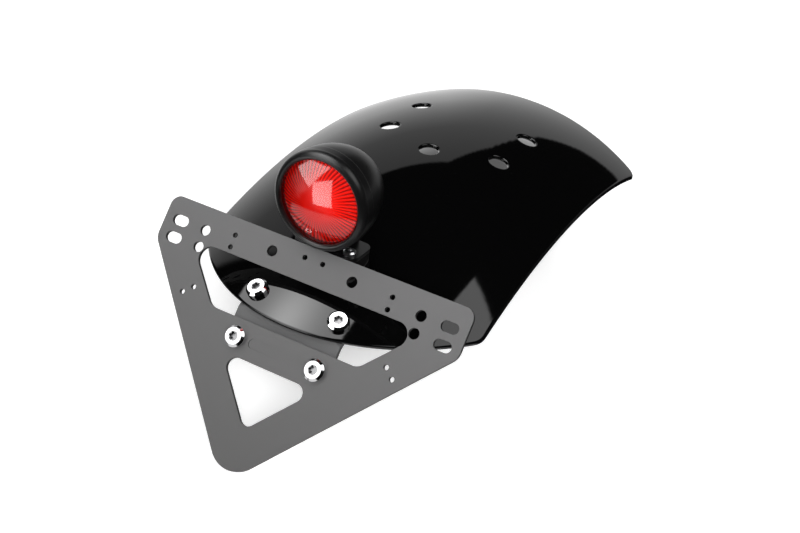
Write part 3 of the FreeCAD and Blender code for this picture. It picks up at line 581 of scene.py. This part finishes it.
upward = tree.nodes.new("ShaderNodeMapRange")
upward.inputs["From Min"].default_value = plate_low_z
upward.inputs["From Max"].default_value = plate_high_z
tree.links.new(parts.outputs["Z"], upward.inputs["Value"])
painted_light_gradient = tree.nodes.new("ShaderNodeMix")
painted_light_gradient.data_type = "RGBA"
painted_light_gradient.inputs["A"].default_value = painted_light_low_grey
painted_light_gradient.inputs["B"].default_value = painted_light_high_grey
tree.links.new(upward.outputs[0], painted_light_gradient.inputs["Factor"])
tree.links.new(painted_light_gradient.outputs["Result"], shade.inputs["B"])
tree.links.new(flat.outputs[0], shade.inputs["Factor"])
tree.links.new(shade.outputs["Result"], tree.nodes["Principled BSDF"].inputs["Base Color"])
coat_node("plate_bracket", painted_shade_and_light_coat)
coat_node("tail_bracket", grey_coat)


# Bolts, nuts, washers and screws: chromed cap screws whose six-lobe recess is duller inside and
# greyed with painted shade, and zinc-plated steel behind the brackets.
def axis_reach():
    """A node group: 1 inside a given distance from a bolt's axis and 0 outside."""
    group = bpy.data.node_groups.new("axis_reach", "ShaderNodeTree")
    group.interface.new_socket("Centre", in_out="INPUT", socket_type="NodeSocketVector")
    group.interface.new_socket("Axis", in_out="INPUT", socket_type="NodeSocketVector")
    group.interface.new_socket("Reach", in_out="INPUT", socket_type="NodeSocketFloat")
    group.interface.new_socket("Mask", in_out="OUTPUT", socket_type="NodeSocketFloat")
    start = group.nodes.new("NodeGroupInput")
    end = group.nodes.new("NodeGroupOutput")
    place = group.nodes.new("ShaderNodeTexCoord")
    offset = group.nodes.new("ShaderNodeVectorMath")
    offset.operation = "SUBTRACT"
    group.links.new(place.outputs["Object"], offset.inputs[0])
    group.links.new(start.outputs["Centre"], offset.inputs[1])
    across = group.nodes.new("ShaderNodeVectorMath")
    across.operation = "CROSS_PRODUCT"
    group.links.new(offset.outputs[0], across.inputs[0])
    group.links.new(start.outputs["Axis"], across.inputs[1])
    length = group.nodes.new("ShaderNodeVectorMath")
    length.operation = "LENGTH"
    group.links.new(across.outputs[0], length.inputs[0])
    near = group.nodes.new("ShaderNodeMath")
    near.operation = "LESS_THAN"
    group.links.new(length.outputs["Value"], near.inputs[0])
    group.links.new(start.outputs["Reach"], near.inputs[1])
    group.links.new(near.outputs[0], end.inputs["Mask"])
    return group


recess_reach = 0.0029
recess_rough = 0.3
# Painted shade: the grey that the recess gets.
recess_painted_shade_grey = (0.32, 0.32, 0.325, 1)
head_chrome = (0.78, 0.78, 0.79, 1)
recess_group = axis_reach()
plating = finish("zinc_plating", (0.5, 0.5, 0.52), (0.25, 0.4), 1500.0, 0.00001, metal=1.0)


def chrome_head(name, centre, axis):
    """Bright chrome, greyed with painted shade and rougher round the screw's axis, where its stamped recess
    is.
    """
    made = finish(name, (0.82, 0.82, 0.83), (0.08, 0.15), 900.0, 0.000004, metal=1.0)
    tree = made.node_tree
    surface = tree.nodes["Principled BSDF"]
    inside = tree.nodes.new("ShaderNodeGroup")
    inside.node_tree = recess_group
    inside.inputs["Centre"].default_value = centre
    inside.inputs["Axis"].default_value = axis
    inside.inputs["Reach"].default_value = recess_reach
    shade = tree.nodes.new("ShaderNodeMix")
    shade.data_type = "RGBA"
    shade.inputs["A"].default_value = head_chrome
    shade.inputs["B"].default_value = recess_painted_shade_grey
    tree.links.new(inside.outputs["Mask"], shade.inputs["Factor"])
    tree.links.new(shade.outputs["Result"], surface.inputs["Base Color"])
    dull = tree.nodes.new("ShaderNodeMix")
    polished = surface.inputs["Roughness"].links[0].from_socket
    tree.links.new(inside.outputs["Mask"], dull.inputs["Factor"])
    tree.links.new(polished, dull.inputs["A"])
    dull.inputs["B"].default_value = recess_rough
    tree.links.new(dull.outputs["Result"], surface.inputs["Roughness"])
    return made


plate_top = (-0.1745, -0.0142)
plate_bolt_side = 0.027
plate_bolt_drop = 0.0643
fender_bolt_side = 0.0275
fender_bolt_turn = math.radians(27.6)
bolt_hoop = float(hoop_radius(fender_bolt_side))
slope_share = fender_bolt_side / section_radius
upright = math.sqrt(1 - slope_share ** 2)
for side, way in (("left", -1), ("right", 1)):
    centre = (way * plate_bolt_side, plate_top[0] - plate_bolt_drop * math.sin(plate_lean),
              plate_top[1] - plate_bolt_drop * math.cos(plate_lean))
    coat_node("plate_bolt_" + side, chrome_head("plate_bolt_chrome_" + side, centre, across_plate))
    centre = (way * fender_bolt_side, -bolt_hoop * math.sin(fender_bolt_turn),
              axle_z + bolt_hoop * math.cos(fender_bolt_turn))
    axis = (way * slope_share, -upright * math.sin(fender_bolt_turn), upright * math.cos(fender_bolt_turn))
    coat_node("fender_bolt_" + side, chrome_head("fender_bolt_chrome_" + side, centre, axis))
    for group in ("fender", "plate"):
        coat_node(f"{group}_washer_{side}", plating)
        coat_node(f"{group}_nut_{side}", plating)
    bright = finish("screw_chrome_" + side, (0.85, 0.85, 0.86), (0.25, 0.35), 900.0, 0.00001, metal=1.0)
    coat_node("base_screw_" + side, bright)
    coat_node("foot_bolt_" + side, plating)
    coat_node("foot_washer_" + side, plating)


# Tail lamp: a cast bullet housing and a turned bezel in satin black, on a duller wedge foot with a
# rubber pad. Inside it are a silvered reflector and boards with pale chips, and below it a clear window.
satin_black = finish("satin_black_coat", (0.004, 0.004, 0.0042), (0.3, 0.35), 1800.0, 0.000003)
for node in ("lamp_housing", "lamp_bezel"):
    coat_node(node, satin_black)
dull_black = finish("dull_black_coat", (0.006, 0.006, 0.006), (0.6, 0.75), 1800.0, 0.00002)
foot_specular = 0.15
dull_black.node_tree.nodes["Principled BSDF"].inputs["Specular IOR Level"].default_value = foot_specular
coat_node("lamp_foot", dull_black)
rubber = finish("black_rubber", (0.02, 0.02, 0.02), (0.7, 0.85), 1200.0, 0.00003)
for node in ("foot_pad", "wire_grommet", "lens_gasket"):
    coat_node(node, rubber)
silver = finish("silver_layer", (0.8, 0.8, 0.8), (0.1, 0.2), 900.0, 0.00001, metal=1.0)
coat_node("lamp_reflector", silver)
coat_node("board_screws", plating)
board = finish("green_board", (0.02, 0.1, 0.04), (0.4, 0.5), 900.0, 0.00001)
for node in ("led_board", "plate_light_board"):
    coat_node(node, board)
chip = finish("pale_chip", (0.8, 0.76, 0.5), (0.3, 0.4), 900.0, 0.00001)
for node in ("tail_leds", "plate_light_leds"):
    coat_node(node, chip)
clear = finish("clear_plastic", (0.9, 0.92, 0.92), (0.02, 0.05), 900.0, 0.000002)
acrylic_ior = 1.49
clear.node_tree.nodes["Principled BSDF"].inputs["Transmission Weight"].default_value = 1.0
clear.node_tree.nodes["Principled BSDF"].inputs["IOR"].default_value = acrylic_ior
coat_node("plate_light_window", clear)


# Lens: clear red plastic, a shallow dome with swirled ribs moulded inside it, held by the bezel. It
# is made as the ribbed inner dome, the side wall, and a clear outer face that only adds its gloss.
lamp_y = -0.1793
lamp_z = 0.0181
lens_reach = 0.0251
lens_bulge = 0.006
rib_total = 60
rib_swirl = math.radians(12)
rib_height = 0.0005
rib_roundness = 0.9
rib_fade_rate = 2.4
rib_fade_shift = 0.8
rib_steps = 8
ribbed_sink = 0.0034
ribbed_bulge = 0.0078


def dome_depth(radius, bulge):
    """How far a dome of a given bulge stands out in front of its rim, at a distance from its axis."""
    size = (lens_reach ** 2 + bulge ** 2) / (2 * bulge)
    return np.sqrt(size ** 2 - radius ** 2) - size + bulge


def turn_angles(turns):
    """The angles of so many even steps round the lamp's axis."""
    return np.linspace(0, 2 * math.pi, turns + 1)[:-1]


def lamp_points(radius, angle, out):
    """Points at a radius and an angle round the lamp's axis, some way out from the rim's plane."""
    points = np.stack([radius * np.cos(angle), lamp_y - out, lamp_z + radius * np.sin(angle)], axis=-1)
    return points.reshape(-1, 3)


def disc(name, radii, depth_of, turns):
    """A round piece about the lamp's axis: rings of the given radii, each point's depth a function of
    its radius and angle, closed by a fan of triangles round a point on the axis.
    """
    angle, radius = np.meshgrid(turn_angles(turns), radii)
    points = lamp_points(radius, angle, depth_of(radius, angle))
    centre = np.array([[0.0, lamp_y - depth_of(np.array(0.0), np.array(0.0)), lamp_z]])
    first = np.arange(turns)
    fan = np.stack([np.full(turns, len(points)), np.roll(first, -1), first], axis=1)
    rings = ring_faces(len(radii), turns)
    return mesh_object(name, np.concatenate([points, centre]), [rings[:, ::-1], fan[:, ::-1]])


def rib_wave(radius, angle):
    """Height of the ribs, 0 in a groove and 1 on a crest: a rounded wave by angle, fading inwards."""
    run = np.clip(radius / lens_reach, 0, 1)
    crest = np.abs(np.sin((angle + rib_swirl * run) * rib_total / 2)) ** rib_roundness
    return 1 - (1 - crest) * np.clip(run * rib_fade_rate - rib_fade_shift, 0, 1)


def ribbed_depth(radius, angle):
    """The ribbed dome: a shallower dome sunk behind the rim, with ridges that turn with the radius."""
    return dome_depth(radius, ribbed_bulge) - ribbed_sink + rib_height * rib_wave(radius, angle)


rib_radii = np.linspace(0.0006, lens_reach, 46)
ribs = disc("lens_ribs", rib_radii, ribbed_depth, rib_total * rib_steps)
rib_angle, rib_radius = np.meshgrid(turn_angles(rib_total * rib_steps), rib_radii)
groove = ribs.data.attributes.new("groove", "FLOAT", "POINT")
groove.data.foreach_set("value", np.append(1 - rib_wave(rib_radius, rib_angle), 0).astype(np.float32))
# Painted shade: the ribs' red darkens into the grooves.
crest_red = (0.82, 0.006, 0.001, 1)
painted_shade_groove_red = (0.06, 0.0, 0.001, 1)
# Painted light: a faint glow in the ribs' red, standing in for light through the plastic.
painted_glow_strength = 0.25
red = finish("red_plastic", (0.80, 0.008, 0.002), (0.25, 0.35), 700.0, 0.000004)
tree = red.node_tree
mark = tree.nodes.new("ShaderNodeAttribute")
mark.attribute_name = "groove"
shade = tree.nodes.new("ShaderNodeMix")
shade.data_type = "RGBA"
shade.inputs["A"].default_value = crest_red
shade.inputs["B"].default_value = painted_shade_groove_red
tree.links.new(mark.outputs["Fac"], shade.inputs["Factor"])
surface = tree.nodes["Principled BSDF"]
tree.links.new(shade.outputs["Result"], surface.inputs["Base Color"])
tree.links.new(shade.outputs["Result"], surface.inputs["Emission Color"])
surface.inputs["Emission Strength"].default_value = painted_glow_strength
ribs.data.materials.append(red)
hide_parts("lamp_lens")
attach(ribs, "root")

wall_turns = 96
wall_angle, wall_out = np.meshgrid(turn_angles(wall_turns), np.array([0.0, -ribbed_sink]))
wall_points = lamp_points(lens_reach, wall_angle, wall_out)
lens_wall = mesh_object("lens_wall", wall_points, ring_faces(len(wall_out), wall_turns))
# Painted shade: the side wall gets the lens's red plastic much darker.
painted_shade_red = finish("red_plastic_painted_shade", (0.12, 0.002, 0.004), (0.1, 0.2), 700.0, 0.000004)
lens_wall.data.materials.append(painted_shade_red)
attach(lens_wall, "root")


def face_depth(radius, angle):
    """The clear outer dome, the same all round."""
    return dome_depth(radius, lens_bulge)


face_turns = 128
face_ior = 1.6
face = disc("lens_face", np.linspace(0.001, lens_reach, 30), face_depth, face_turns)
gloss = bpy.data.materials.new("clear_red_face")
gloss.use_nodes = True
tree = gloss.node_tree
surface = tree.nodes["Principled BSDF"]
surface.inputs["Base Color"].default_value = (1, 0.95, 0.95, 1)
surface.inputs["Metallic"].default_value = 1.0
surface.inputs["Roughness"].default_value = 0.02
fresnel = tree.nodes.new("ShaderNodeFresnel")
fresnel.inputs["IOR"].default_value = face_ior
tree.links.new(fresnel.outputs[0], surface.inputs["Alpha"])
face.data.materials.append(gloss)
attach(face, "root")
